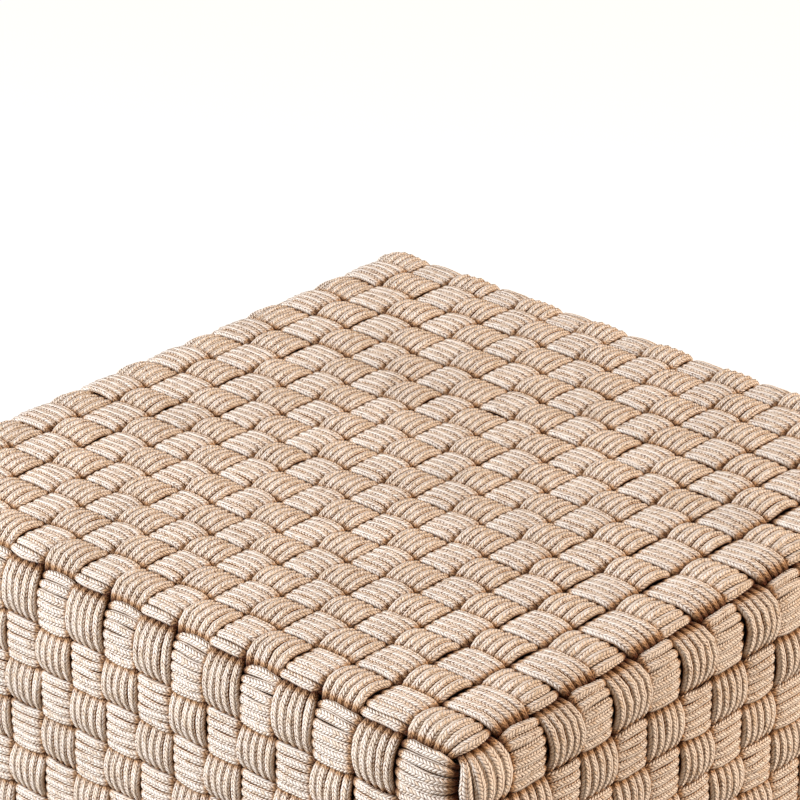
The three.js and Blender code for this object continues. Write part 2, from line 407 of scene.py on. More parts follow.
@dataclass(frozen=True)
class ZincPlate:
    """Zinc plated steel: a grey metal, with small crystals that differ a little in gloss."""

    name: str = "zinc_plated_steel"
    colour: str = "#B9B9B5"
    shade: float = 0.86  # of the colour's light, on the darkest crystal
    crystal: float = 2.0 * MM  # coarser than the real one, so that it shows
    roughness: float = 0.34
    dulling: float = 0.12  # added to the roughness on the dullest crystal

    def material(self) -> Material:
        """Gives each crystal of a cell pattern its own tone and roughness.

        Returns:
            The material of a plated part.
        """
        material, add = blank_material(self.name)
        place = add("TexCoord").outputs["Object"]
        cells = {"Vector": place, "Scale": 1 / self.crystal}
        crystals = add("TexVoronoi", cells).outputs["Color"]
        parts = add("SeparateColor", crystals).outputs
        dark, pale = linear(self.colour, self.shade), linear(self.colour)
        ends = {"Factor_Float": parts[0], "A_Color": dark, "B_Color": pale}
        colour = add("Mix", ends, data_type="RGBA").outputs[MIXED_COLOUR]
        dulled = (parts[1], self.dulling, self.roughness)
        rough = add("Math", *dulled, operation="MULTIPLY_ADD")
        finish_material(add, {"Base Color": colour, "Roughness": rough, "Metallic": 1.0})
        return material


# The sizes and the paths of the weave.


@dataclass(frozen=True)
class FrameSizes:
    """What the weave has to know of the frame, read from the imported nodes."""

    axis_half: float  # middle of the frame to the axis of a rail
    top_axis: float  # height of the top rails' axis
    bottom_axis: float
    edge_radius: float  # a rail's axis to the middle of the weave
    hem_radius: float  # a bottom rail's axis to the outside of the cords turned under it
    tube_radius: float

    @classmethod
    def measured(cls) -> "FrameSizes":
        """Reads the boxes of two rails and of the rope on a side and under it.

        Returns:
            The sizes worked out from them.
        """
        low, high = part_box("top_rail_right")
        under_low, under_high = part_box("bottom_rail_right")
        hem_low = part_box("turned_under_cords_right")[0].z
        axis_half = (low.x + high.x) / 2
        tube_radius = (high.z - low.z) / 2
        crest = (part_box("woven_right")[1].x - axis_half - tube_radius) / 2
        bottom_axis = (under_low.z + under_high.z) / 2
        return cls(
            axis_half=axis_half,
            top_axis=(low.z + high.z) / 2,
            bottom_axis=bottom_axis,
            edge_radius=tube_radius + crest,
            hem_radius=bottom_axis - hem_low,
            tube_radius=tube_radius,
        )

    @property
    def top_run(self) -> float:
        """Over the surface, from the middle of a face to its seam halfway round an edge."""
        return self.axis_half + math.pi / 4 * self.edge_radius

    @property
    def rise(self) -> float:
        """Height from the bottom rails' axis to the top rails' axis."""
        return self.top_axis - self.bottom_axis

    @property
    def side_run(self) -> float:
        """Over a side, from its middle height to a seam."""
        return self.rise / 2 + math.pi / 4 * self.edge_radius


def lane_lines(half: float, shares: tuple[float, ...]) -> Array:
    """The lines between neighbouring bands: a running sum of shares, stretched over the width."""
    ends = np.concatenate([[0.0], np.cumsum(shares)])
    return half * (2 * ends / ends[-1] - 1)


@dataclass(frozen=True)
class BandPath:
    """What both kinds of path share: places across a band widen with height over a rounded edge."""

    sizes: FrameSizes

    @property
    def core(self) -> float:
        """How far across the path is flat, on either side of its middle."""
        return self.sizes.axis_half

    def outwards(self, across: Array, height: float) -> Array:
        """Measures a place across at a height: past the flat part, it grows as the radius does."""
        beyond = np.maximum(np.abs(across) - self.core, 0) * (1 + height / self.sizes.edge_radius)
        return np.sign(across) * (np.minimum(np.abs(across), self.core) + beyond)

    def inwards(self, place: Array, height: float) -> Array:
        """Turns a place measured at a height back into one on the middle of the weave."""
        beyond = np.maximum(np.abs(place) - self.core, 0) / (1 + height / self.sizes.edge_radius)
        return np.sign(place) * (np.minimum(np.abs(place), self.core) + beyond)


@dataclass(frozen=True)
class OverTheTop(BandPath):
    """The level path of a band over the top, down two sides and round the bottom rails."""

    along_x: bool
    drift: float  # how far the band lies round the object on a side, from its place on the top

    @property
    def hand(self) -> float:
        """One where ahead, across and outwards are a right-handed set, and else minus one."""
        return 1.0 if self.along_x else -1.0

    def hanging(self, run: Array) -> Array:
        """Nought on the top and one on a side, with a smooth step round the edge between them."""
        s = self.sizes
        return smooth_step((np.abs(run) - s.axis_half) / (s.top_run - s.axis_half) / 2)

    def shifted(self, run: Array, across: Array) -> Array:
        """The drift, anticlockwise from above, less the fourth power of the place across."""
        way = self.hand * np.sign(run) * self.hanging(run)
        return way * self.drift * (1 - (across / self.sizes.top_run) ** 4)

    def place(self, run: Array, across: Array, height: Array) -> Array:
        """Gives points of the band.

        In the plane of the path, a core line follows the rails' axes and the direction outwards
        turns round each rail in step with the run. Across the path, beyond the rails' axes the
        direction leans outwards too, so that the corners are rounded. The point is the core plus
        radius and height along it.

        Args:
            run: distance along the middle of the weave, nought in the middle of the top.
            across: distance to the side of the object's middle.
            height: distance from the middle of the weave, outwards.

        Returns:
            Points as rows of x, y, z.
        """
        s = self.sizes
        quarter = math.pi / 2 * s.edge_radius
        far = s.axis_half + quarter + s.rise
        knots = [0.0, s.axis_half, s.axis_half + quarter, far, far + 3 * quarter]
        turn = np.interp(np.abs(run), knots, [0.0, 0.0, math.pi / 2, math.pi / 2, 2 * math.pi])
        out = np.minimum(np.abs(run), s.axis_half)
        up = np.interp(np.abs(run), knots[2:4], [s.top_axis, s.bottom_axis])
        core, lean = split_across(across, s.axis_half, s.edge_radius)
        way = outwards_way(np.sin(turn), np.cos(turn), lean)
        point = np.stack([out, up, core], axis=1) + way * (s.edge_radius + height)[:, None]
        point[:, 0] *= np.where(run < 0, -1.0, 1.0)
        return point[:, [0, 2, 1]] if self.along_x else point[:, [2, 0, 1]]


@dataclass(frozen=True)
class RoundTheSides(BandPath):
    """The level path of a hoop: four straight sides joined by rounded upright corners."""

    sway: float  # how far the hoop lies above its level on two sides, and below it on the other two
    hand: float = 1.0

    @property
    def core(self) -> float:
        """Half the height between the rails' axes."""
        return self.sizes.rise / 2

    def hanging(self, run: Array) -> Array:
        """Nought all round: a hoop is as flat as a band on the top."""
        return np.zeros_like(run)

    def shifted(self, run: Array, across: Array) -> Array:
        """The sway, as a sine that goes up and down twice round the object."""
        wave = self.sway * np.sin(math.pi * run / (2 * self.sizes.top_run))
        return np.broadcast_to(wave, across.shape)

    def place(self, run: Array, across: Array, height: Array) -> Array:
        """Gives points of the hoop.

        Each side is worked out as the front, from its middle to the seams at both ends, and
        turned by quarter turns about Z. Above and below, the direction outwards leans over the
        rails.

        Args:
            run: distance along the weave's middle, anticlockwise from the front left seam.
            across: distance above the middle height of a side.
            height: distance from the middle of the weave, outwards.

        Returns:
            Points as rows of x, y, z.
        """
        s = self.sizes
        side = np.floor(run / (2 * s.top_run))
        local = run - (2 * side + 1) * s.top_run
        core, turn = split_across(local, s.axis_half, s.edge_radius)
        level, lean = split_across(across, s.rise / 2, s.edge_radius)
        way = outwards_way(np.sin(turn), -np.cos(turn), lean)
        middle = (s.top_axis + s.bottom_axis) / 2
        start = np.stack([core, np.full_like(core, -s.axis_half), middle + level], axis=1)
        point = start + way * (s.edge_radius + height)[:, None]
        cos, sin = np.cos(side * math.pi / 2), np.sin(side * math.pi / 2)
        x, y = point[:, 0].copy(), point[:, 1].copy()
        point[:, 0], point[:, 1] = x * cos - y * sin, x * sin + y * cos
        return point


def split_across(place: Array, core_half: float, radius: float) -> tuple[Array, Array]:
    """Splits a place into a part between the rails' axes and a turn round the rail past them."""
    beyond = np.maximum(np.abs(place) - core_half, 0)
    return np.clip(place, -core_half, core_half), np.sign(place) * beyond / radius


def outwards_way(first: Array, second: Array, lean: Array) -> Array:
    """Works out unit directions outwards.

    The third part is the lean's tangent times the larger of the other two, whose kink where they
    meet is rounded off by an eighth-power mean.

    Args:
        first: the sine of the turn round one edge.
        second: the cosine of it, with either sign.
        lean: the turn round the other edge.

    Returns:
        The directions as rows.
    """
    larger = (np.abs(first) ** 8 + np.abs(second) ** 8) ** (1 / 8)
    way = np.stack([first, second, np.tan(lean) * larger], axis=1)
    return way / np.linalg.norm(way, axis=1, keepdims=True)


def smooth_step(share: Array) -> Array:
    """Three times the square less twice the cube of a share, which is kept from nought to one."""
    share = np.clip(share, 0, 1)
    return share**2 * (3 - 2 * share)


# The weave.


@dataclass(frozen=True)
class CordSizes:
    """One cord of a band, and how it lies in the weave."""

    width: float = 5.5 * MM  # side to side, where the band has room
    spread: float = 0.8 * MM  # how much wider the cords lie in a lane that leans over an edge
    opened: float = 0.72  # of the grooves' painted shade, lost in such a lane
    tucked: float = 0.8  # of the arch, kept in such a lane
    roomy: float = 5.9 * MM  # of the lane's width for each cord: their quotient is the count
    thickness: float = 5.3 * MM
    fullness: float = 0.86  # power on the section's cosine and sine: less is squarer than round
    arch: float = 4.9 * MM  # weave's middle to the cord's middle, at the back of an over cell
    steepness: float = 0.6  # smaller is a flatter back and steeper ends
    side_arch: float = 5.8 * MM  # the same two where a band hangs down a side
    side_steepness: float = 1.0
    raised: float = 0.05  # added to the rise, which is scaled back to one: over cells get longer
    loudness: float = 0.07  # of the arch, by which it differs from cell to cell
    waist: float = 0.9  # of the spacing, where the band dives between two others
    belly: float = 1.01  # of the spacing, on the back of an over cell
    pinch: float = 0.87  # of the spacing, under another band
    crown: float = 0.03  # of the height, lost with the square of the place in the band
    stray: float = 0.28 * MM  # how far a cord wanders to the side of its line
    lift: float = 0.8  # of the stray, how far it wanders up and down
    hem_reach: float = 4 * MM  # past the last crossing, where the cords lie flat
    squeeze: float = 0.52  # half a cord's width, of the distance to the next one
    sides: int = 8
    steps: int = 8  # of each cell
    tail_steps: int = 12  # past the last crossing

    @property
    def girth(self) -> float:
        """The cord's length round, as a circle of its mean diameter."""
        return math.pi * (self.width + self.thickness) / 2


CORDS_IN_BAND = 5
NUDGE = 0.5 * MM  # to the point beside a cord that gives the direction across the band
LONGEST_WAVE = 75  # millimetres, as is the next
SHORTEST_WAVE = 22
MAP_SHIFT = 9  # metres, the most that a cord's map is moved along it


def wander(rng: Rng, run: Array, length: float, count: int) -> Array:
    """Slow random waves along a path, one row for each cord.

    The sum of three sine waves of random phase, each of which fits a whole number of times into
    the length, so that a closed path meets itself.

    Args:
        rng: the seeded source.
        run: distances along the path.
        length: the length that the waves repeat over.
        count: number of rows.

    Returns:
        Rows with a mean square of about one half.
    """
    waves = rng.uniform(1 / LONGEST_WAVE, 1 / SHORTEST_WAVE, (count, 3, 1)) / MM
    whole = np.maximum(np.round(waves * length), 1)
    phase = rng.uniform(0, 2 * math.pi, (count, 3, 1))
    return np.sin(2 * math.pi * whole * run[None, None, :] / length + phase).sum(1) / math.sqrt(3)


@dataclass(frozen=True)
class Crossings:
    """The cells that a band passes, over or under in turn."""

    lines: Array
    first_over: bool

    def shape(self, run: Array, steepness: Array) -> tuple[Array, Array]:
        """Gives the band's rise and fall.

        In a cell, the height follows a cosine over its own root of squares, which is flat on the
        back and steep at the ends. Its sign changes from cell to cell.

        Args:
            run: distances along the band.
            steepness: for each place, less for a flatter back and steeper ends.

        Returns:
            The signed height as a share of the arch, and the number of the cell.
        """
        found = np.searchsorted(self.lines, run, side="right") - 1
        cell = np.clip(found, 0, len(self.lines) - 2)
        low, high = self.lines[cell], self.lines[cell + 1]
        wave = np.cos(math.pi * ((run - low) / (high - low) - 0.5))
        rise = wave / np.sqrt(wave**2 + steepness**2) * np.sqrt(1 + steepness**2)
        over = (cell % 2 == 0) == self.first_over
        return np.where(over, rise, -rise), cell

    def samples(self, steps: int) -> Array:
        """Places along the band: in each cell they crowd towards its ends, as a sine does."""
        share = np.sin(math.pi / 2 * np.linspace(-1, 1, steps + 1)[:-1]) / 2 + 0.5
        return (self.lines[:-1, None] + np.diff(self.lines)[:, None] * share[None, :]).ravel()


@dataclass(frozen=True)
class Skin:
    """Rings of corners round a set of cords, ready to be made a mesh."""

    points: Array  # cords, rings, sides, 3
    along: Array  # cords, rings: metres along the cord
    rise: Array  # rings: from one on the back of an over cell to minus one under another band; shade is painted where it is low
    groove: Array  # cords, sides: one where a side lies against the next cord, where shade is painted
    closed: bool

    def mesh(self, name: str, girth: float, rng: Rng) -> bpy.types.Mesh:
        """Joins the rings with quads, caps open ends and lays the cord's map in metres.

        Args:
            name: of the mesh.
            girth: the cord's length round.
            rng: the seeded source, which shifts each cord's map along.

        Returns:
            A smooth mesh whose faces point outwards.
        """
        cords, rings, sides, _ = self.points.shape
        ring = np.arange(rings if self.closed else rings - 1)
        c, r, k = np.meshgrid(np.arange(cords), ring, np.arange(sides), indexing="ij")
        ahead, turned = (r + 1) % rings, (k + 1) % sides
        row, row_ahead = (c * rings + r) * sides, (c * rings + ahead) * sides
        quads = np.stack([row + k, row + turned, row_ahead + turned, row_ahead + k], axis=-1)
        run = self.along + rng.uniform(0, MAP_SHIFT, (cords, 1))
        if self.closed:
            run = np.concatenate([run, run[:, :1] + self.length[:, None]], axis=1)
        around = np.arange(sides + 1) * girth / sides
        u = np.stack([run[c, r], run[c, r], run[c, r + 1], run[c, r + 1]], axis=-1)
        v = np.stack([around[k], around[k + 1], around[k + 1], around[k]], axis=-1)
        faces, starts = quads.reshape(-1), np.arange(quads[..., 0].size) * 4
        uv = np.stack([u.reshape(-1), v.reshape(-1)], axis=1)
        if not self.closed:
            cap = np.arange(sides)
            first = np.arange(cords)[:, None] * rings * sides
            caps = np.concatenate([first + cap[::-1], first + (rings - 1) * sides + cap], axis=0)
            starts = np.concatenate([starts, faces.size + np.arange(2 * cords) * sides])
            angle = 2 * math.pi * cap / sides
            disc = np.stack([np.cos(angle), np.sin(angle)], axis=1)
            uv = np.concatenate([uv, np.tile(disc * girth / (2 * math.pi), (2 * cords, 1))])
            faces = np.concatenate([faces, caps.reshape(-1)])
        made = bpy.data.meshes.new(name)
        made.vertices.add(cords * rings * sides)
        made.vertices.foreach_set("co", self.points.reshape(-1).astype(np.float32))
        made.loops.add(faces.size)
        made.loops.foreach_set("vertex_index", faces.astype(np.int32))
        made.polygons.add(starts.size)
        made.polygons.foreach_set("loop_start", starts.astype(np.int32))
        layer = made.uv_layers.new(name="cord")
        layer.uv.foreach_set("vector", uv.reshape(-1).astype(np.float32))
        # two masks that place the painted shade in the rope's material
        layers = {"rise": self.rise[None, :, None], "groove": self.groove[:, None, :]}
        for label, values in layers.items():
            spread = np.broadcast_to(values, (cords, rings, sides)).astype(np.float32)
            made.attributes.new(label, "FLOAT", "POINT").data.foreach_set("value", spread.ravel())
        made.update(calc_edges=True)
        made.validate()
        made.shade_smooth()
        return made

    @property
    def length(self) -> Array:
        """Each closed cord's length, from its first ring round to it again."""
        gap = self.points[:, 0].mean(axis=1) - self.points[:, -1].mean(axis=1)
        return self.along[:, -1] - self.along[:, 0] + np.linalg.norm(gap, axis=1)


@dataclass(frozen=True)
class Band:
    """A flat band of cords side by side, which goes over and under the bands that cross it."""

    name: str
    path: OverTheTop | RoundTheSides
    crossings: Crossings
    lane: Pair  # the lines on both sides of it
    ends: Pair | None  # how far it runs, or None where it closes on itself
    hem_height: float = 0.0
    stands_for: tuple[str, ...] = ()
    roundness: float = 0.0  # of its backs: one is as round as where a band hangs down a side
    # which copy of the rope: plain, or darker with painted shade
    rope_shading: RopeShading = RopeShading.UNSHADED

    @property
    def leaning(self) -> float:
        """One where the band's lane reaches past the flat part of the path, and else nought."""
        return float(max(map(abs, self.lane)) > self.path.core)

    def runs(self, cord: CordSizes) -> Array:
        """Places along the band: crowded at the cells' ends, and even where it turns under.

        Args:
            cord: the sizes of one cord.

        Returns:
            Distances along the middle of the weave.
        """
        runs = self.crossings.samples(cord.steps)
        if self.ends is None:
            return runs
        seam = self.crossings.lines[-1]
        step = (self.ends[1] - seam) / cord.tail_steps
        tail = np.arange(cord.tail_steps + 1) * step + seam
        return np.concatenate([-tail[::-1], runs[1:], tail])

    def packed(self, cord: CordSizes) -> tuple[float, float, int]:
        """Packs the cords side by side in the middle of the lane.

        There are five, or six where the lane is wide. In a lane that leans over an edge they may
        lie a little wider.

        Args:
            cord: the sizes of one cord.

        Returns:
            The band's middle and the spacing of its cords, both measured at the height of the
            arch, and the number of cords.
        """
        inner, outer = sorted(self.path.outwards(np.array(self.lane), cord.arch), key=abs)
        room = abs(outer - inner)
        widest = cord.width + self.leaning * cord.spread
        count = max(CORDS_IN_BAND, round(room / cord.roomy))
        return (inner + outer) / 2, min(room / count, widest), count

    def lie(self, cord: CordSizes, run: Array, rng: Rng) -> tuple[Array, Array, Array]:
        """Says how the cords lie in the weave.

        The height is the arch times the crossings' rise, and the cords draw together as it falls.
        Small random changes are added to both. Past the last crossing the cords lie flat.

        Args:
            cord: the sizes of one cord.
            run: places along the band.
            rng: the seeded source of the random changes.

        Returns:
            Each cord's place across and its height at each place along, and the band's rise.
        """
        lines = self.crossings.lines
        hangs = self.roundness + (1 - self.roundness) * self.path.hanging(run)
        arch = cord.arch + hangs * (cord.side_arch - cord.arch)
        arch = arch * (1 - (1 - cord.tucked) * self.leaning)
        steepness = cord.steepness + hangs * (cord.side_steepness - cord.steepness)
        rise, cell = self.crossings.shape(run, steepness)
        # the rise at the plain steepness, which lays painted shade evenly at the cells' ends
        bare, _ = self.crossings.shape(run, np.full_like(run, cord.steepness))
        total = lines[-1] - lines[0]
        centre, spacing, count = self.packed(cord)
        seat = (np.arange(count) - (count - 1) / 2)[:, None]
        waist = np.where(rise > 0, cord.belly - cord.waist, cord.waist - cord.pinch)
        waist = waist * rise + cord.waist
        loud = 1 + cord.loudness * rng.standard_normal(len(lines))[cell]
        side = wander(rng, run, total, count) * cord.stray
        lift = wander(rng, run, total, count) * cord.stray * cord.lift
        across = self.path.inwards(centre + seat * spacing * waist[None, :], cord.arch) + side
        across = across + self.path.shifted(run[None, :], across)
        crown = 1 - cord.crown * seat**2
        rise = (rise + cord.raised) / (1 + cord.raised)
        height = (arch * rise * loud)[None, :] * crown + lift
        if self.ends is not None:
            start = (lines[-1] + lines[-2]) / 2
            share = smooth_step((np.abs(run) - start) / (lines[-1] + cord.hem_reach - start))
            height = height * (1 - share) + self.hem_height * share
            bare = bare * (1 - share) + share
        return across, height, bare

    def axes(self, run: Array, across: Array, height: Array) -> tuple[Array, Array, Array]:
        """Works out where the middles of the cords run and which way their rings stand.

        The rings are square to the central difference of the middles. One axis is the direction
        to a point beside, less its part along the cord, and the other is square to both.

        Args:
            run: places along the band.
            across: each cord's place across at each of them.
            height: each cord's height at each of them.

        Returns:
            The middles, the directions across the band and the directions outwards.
        """
        shape = (*across.shape, 3)
        flat = [a.reshape(-1) for a in (np.broadcast_to(run, across.shape), across, height)]
        middle = self.path.place(*flat).reshape(shape)
        flat[1] = flat[1] + self.path.hand * NUDGE
        wide = self.path.place(*flat).reshape(shape) - middle
        if self.ends is None:
            forward = np.roll(middle, -1, axis=1) - np.roll(middle, 1, axis=1)
        else:
            forward = np.gradient(middle, axis=1)
        forward /= np.linalg.norm(forward, axis=2, keepdims=True)
        wide -= (wide * forward).sum(2, keepdims=True) * forward
        wide /= np.linalg.norm(wide, axis=2, keepdims=True)
        return middle, wide, np.cross(forward, wide)

    def skin(self, cord: CordSizes, rng: Rng) -> Skin:
        """Carries a ring of corners for each cord along the path.

        The ring's cosine and sine are raised to a power. Its width is a share of the distance to
        the next cord.

        Args:
            cord: the sizes of one cord.
            rng: the seeded source of small wanderings.

        Returns:
            The rings of all its cords.
        """
        run = self.runs(cord)
        across, height, rise = self.lie(cord, run, rng)
        middle, wide, tall = self.axes(run, across, height)
        beside_next = np.abs((np.gradient(middle, axis=0) * wide).sum(2, keepdims=True))
        half_wide = cord.squeeze * np.minimum(beside_next, cord.width + 2 * cord.spread)
        angle = 2 * math.pi * np.arange(cord.sides) / cord.sides
        ring = np.stack([np.cos(angle), np.sin(angle)])
        ring = np.sign(ring) * np.abs(ring) ** cord.fullness
        sideways = (wide * half_wide)[:, :, None, :] * ring[0][:, None]
        upwards = tall[:, :, None, :] * ring[1][:, None] * cord.thickness / 2
        points = middle[:, :, None, :] + sideways + upwards
        step = np.linalg.norm(np.diff(middle, axis=1), axis=2)
        along = np.concatenate([np.zeros((len(step), 1)), np.cumsum(step, axis=1)], axis=1)
        return Skin(points, along, rise, self.grooves(cord, len(step)), self.ends is None)

    def grooves(self, cord: CordSizes, count: int) -> Array:
        """Marks the sides of each cord that lie against the next, and those just below, for painted
        shade.

        They have less where the band leans over an edge: the cords fan out, and more light gets in.

        Args:
            cord: the sizes of one cord.
            count: number of cords.

        Returns:
            Up to one for each side of each cord.
        """
        seat = np.arange(count)
        made = np.zeros((count, cord.sides))
        first, last = seat > 0, seat < count - 1
        ahead, behind = (last, first) if self.path.hand > 0 else (first, last)
        made[:, [0, -1]] = ahead[:, None]
        made[:, [cord.sides // 2, cord.sides // 2 + 1]] = behind[:, None]
        return made * (1 - cord.opened * self.leaning)


@dataclass(frozen=True)
class WovenCover:
    """The cover: bands over the top both ways, and level hoops round the sides, in plain weave.

    The bands near the edges lie looser than the others, so each lane has its own share.
    """

    sizes: FrameSizes
    cord: CordSizes
    lanes_along_x: tuple[float, ...] = (  # widths of the bands along Y, from the left
        1.16, 1.10, 1.04, 0.92, 0.93, 0.90, 0.93, 0.92,
        0.93, 0.92, 0.89, 0.92, 0.97, 1.06, 1.11, 1.29,
    )
    lanes_along_y: tuple[float, ...] = (  # widths of the bands along X, from the front
        1.10, 0.97, 0.88, 0.95, 0.98, 1.00, 0.94, 0.99,
        0.98, 0.99, 1.03, 1.08, 1.09, 1.07, 1.02, 0.92,
    )
    hoop_shares: tuple[float, ...] = (1.07, 1.02, 0.99, 0.98, *((0.994,) * 10))  # downwards
    corner_end: float = math.radians(48)  # the outer bands' turn under the corner, from level
    hem_end: float = math.radians(195)  # the other bands' turn round the bottom rail
    x_roundness: float = -0.4  # less than nought is flatter than a plain back
    y_roundness: float = 1.0
    hoop_roundness: float = -0.6
    drift: float = 7 * MM
    top_hoop_drift: float = 0.83  # of the drift, where the top hoop crosses the bands
    edge_rise: float = 2 * MM  # how far the top hoop reaches up over an edge, past its middle
    sway: float = 3 * MM
    sway_in: float = 60 * MM  # below the upper seam, where the sway is full
    sway_out: float = 150 * MM  # above the lower seam, where it begins to fade

    @property
    def levels(self) -> Array:
        """Distances over a side from the upper seam down to the lines between hoops."""
        run = self.sizes.side_run
        return run - lane_lines(run, self.hoop_shares[::-1])[::-1]

    def trimmed(self, lines: Array) -> Array:
        """The lines across the top, whose outer two make room for the top hoop."""
        reach = self.sizes.top_run - self.edge_rise
        return np.clip(lines, -reach, reach)

    def swayed(self, down: Array) -> Array:
        """Gives the sway, which fades to nought at both seams.

        Args:
            down: distances below the upper seam.

        Returns:
            The sway at them.
        """
        whole = 2 * self.sizes.side_run
        knots = [0, self.sway_in, whole - self.sway_out, whole]
        return self.sway * np.interp(down, knots, [0, 1, 1, 0])

    def drifted(self, lines: Array, share: float) -> Array:
        """The lines between the bands on a side: those on the top, and a share of the drift."""
        return lines + share * self.drift * (1 - (lines / self.sizes.top_run) ** 4)

    def top_bands(self, along_x: bool, crossed: Array, lanes: Array) -> Iterator[Band]:
        """Yields the bands that run one way over the top.

        Args:
            along_x: whether they run along X, or else along Y.
            crossed: the lines between the bands that they cross on the top.
            lanes: the lines between the bands themselves.

        Returns:
            The bands from one side of the top to the other.
        """
        s, down = self.sizes, self.levels
        far = s.axis_half + math.pi / 2 * s.edge_radius + s.rise
        axis, faces = ("x", ("left", "right")) if along_x else ("y", ("front", "back"))
        kinds = ("woven", "turned_under_cords")
        hems = tuple(f"{kind}_{face}" for kind in kinds for face in faces)
        last = len(lanes) - 2
        for i in range(last + 1):
            end = far + (self.corner_end if i in (0, last) else self.hem_end) * s.edge_radius
            middle = (lanes[i] + lanes[i + 1]) / 2
            wave = math.cos(math.pi * middle / (2 * s.top_run))
            rise = self.swayed(down) * wave * (-1 if along_x else 1)
            hoops = (s.top_run + down - rise)[1:]
            lines = np.concatenate([-hoops[::-1], crossed, hoops])
            over = (i + len(down) - 1 + int(not along_x)) % 2 == 0
            yield Band(
                name=f"rope_band_{axis}_{i + 1:02d}",
                path=OverTheTop(s, along_x, self.drift),
                crossings=Crossings(lines, over),
                lane=(lanes[i], lanes[i + 1]),
                ends=(-end, end),
                hem_height=(s.hem_radius + s.tube_radius) / 2 - s.edge_radius,
                stands_for=("woven_top", *hems),
                roundness=self.x_roundness if along_x else self.y_roundness,
                # the bands along Y take the darker copy: painted shade for their cords' flanks,
                # which face away from the key lamp
                rope_shading=RopeShading.UNSHADED if along_x else RopeShading.PAINTED_SHADE,
            )

    def hoops(self, x_lines: Array, y_lines: Array) -> Iterator[Band]:
        """Yields the hoops, which cross the bands that stand on each side in turn.

        Args:
            x_lines: the lines between the bands along Y, as places along X.
            y_lines: the lines between the bands along X, as places along Y.

        Returns:
            The hoops from the top down.
        """
        s, down = self.sizes, self.levels
        tops = np.append(-self.edge_rise, down[1:])  # where each hoop's upper edge lies
        faces = (x_lines, y_lines, -x_lines[::-1], -y_lines[::-1])
        for k in range(len(down) - 1):
            share = self.top_hoop_drift if k == 0 else 1.0
            drifted = [self.drifted(lines, share)[:-1] for lines in faces]
            sides = [lines + 2 * i * s.top_run for i, lines in enumerate(drifted)]
            loop = np.append(np.concatenate(sides), 7 * s.top_run)
            yield Band(
                name=f"rope_hoop_{k + 1:02d}",
                path=RoundTheSides(s, float(self.swayed((down[k] + down[k + 1]) / 2))),
                crossings=Crossings(loop + s.top_run, k % 2 == 1),
                lane=(s.side_run - down[k + 1], s.side_run - tops[k]),
                ends=None,
                stands_for=("woven_front", "woven_right", "woven_back", "woven_left"),
                roundness=self.hoop_roundness,
            )

    def bands(self) -> Iterator[Band]:
        """Works out every band.

        Returns:
            The bands along X, the bands along Y and the hoops.
        """
        x_lines = lane_lines(self.sizes.top_run, self.lanes_along_x)
        y_lines = lane_lines(self.sizes.top_run, self.lanes_along_y)
        yield from self.top_bands(True, self.trimmed(x_lines), self.trimmed(y_lines))
        yield from self.top_bands(False, self.trimmed(y_lines), self.trimmed(x_lines))
        yield from self.hoops(x_lines, y_lines)

    def build(self, ropes: dict[RopeShading, Material]) -> None:
        """Makes every band a piece that rides on the root and stands for the plain woven nodes.

        Args:
            ropes: the rope's material, plain and darker with painted shade.
        """
        rng = np.random.default_rng(SEED)
        for band in self.bands():
            mesh = band.skin(self.cord, rng).mesh(band.name, self.cord.girth, rng)
            mesh.materials.append(ropes[band.rope_shading])
            piece = add_object(band.name, mesh)
            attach(piece, BODY)
            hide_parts(*band.stands_for)
            triangles = sum(len(p.vertices) - 2 for p in mesh.polygons)
            LOG.info("%s: %d triangles", band.name, triangles)


def add_object(name: str, data: bpy.types.ID, place: Matrix | None = None) -> bpy.types.Object:
    """Adds an object to the scene.

    Args:
        name: of the object.
        data: its mesh, lamp or camera.
        place: where it stands, if not at the origin.

    Returns:
        The object.
    """
    made = bpy.data.objects.new(name, data)
    if place is not None:
        made.matrix_world = place
    bpy.context.scene.collection.objects.link(made)
    return made


# The frame's finish, and the studio.


@dataclass(frozen=True)
class FrameFinish:
    """The finishes of the frame's own nodes. A node that isn't named for one of them is of tube."""

    tube: PowderCoat = PowderCoat("powder_coated_tube")
    casting: PowderCoat = PowderCoat(
        "powder_coated_casting", peel=2.4 * MM, ripple=0.07 * MM, roughness=0.48
    )
    plastic: MouldedPlastic = MouldedPlastic()
    plate: ZincPlate = ZincPlate()

    def apply(self, nodes: dict[str, bpy.types.Object]) -> None:
        """Puts the finishes in the nodes' own material slots, apart from those of rope.

        Args:
            nodes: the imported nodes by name.
        """
        tube = self.tube.material()
        finishes = {
            "stud": self.plate.material(),
            "glide": self.plastic.material(),
            "fitting": self.casting.material(),
        }
        for name, node in nodes.items():
            if name.startswith(("woven_", "turned_under_")):
                continue
            finish = next((made for word, made in finishes.items() if word in name), tube)
            for place in node.material_slots:
                place.material = finish
            LOG.info("%s: %s", name, finish.name)


def facing(aim: Point, angles: Pair, far: float) -> Matrix:
    """Where a camera or a lamp stands that faces the aim.

    Args:
        aim: the point that it faces.
        angles: degrees from the front towards the right, and up from the floor.
        far: its distance from the aim in metres.

    Returns:
        Its place and turn.
    """
    a, e = (math.radians(angle) for angle in angles)
    back = Vector((math.sin(a) * math.cos(e), -math.cos(a) * math.cos(e), math.sin(e)))
    turn = back.to_track_quat("Z", "Y").to_matrix().to_4x4()
    return Matrix.Translation(Vector(aim) + back * far) @ turn


@dataclass(frozen=True)
class SoftLamp:
    """A round lamp with a soft front: its distance and width in metres, and power in watts."""

    name: str
    azimuth: float
    elevation: float
    distance: float
    size: float
    power: float
    colour: str
    aim: Point = (0.0, 0.0, 0.3)

    def hang(self) -> None:
        """Hangs the lamp and turns it to the middle of the object."""
        data = bpy.data.lights.new(self.name, "AREA")
        data.shape, data.size, data.energy = "DISK", self.size, self.power
        data.color = linear(self.colour)[:3]
        place = facing(self.aim, (self.azimuth, self.elevation), self.distance)
        add_object(self.name, data, place)


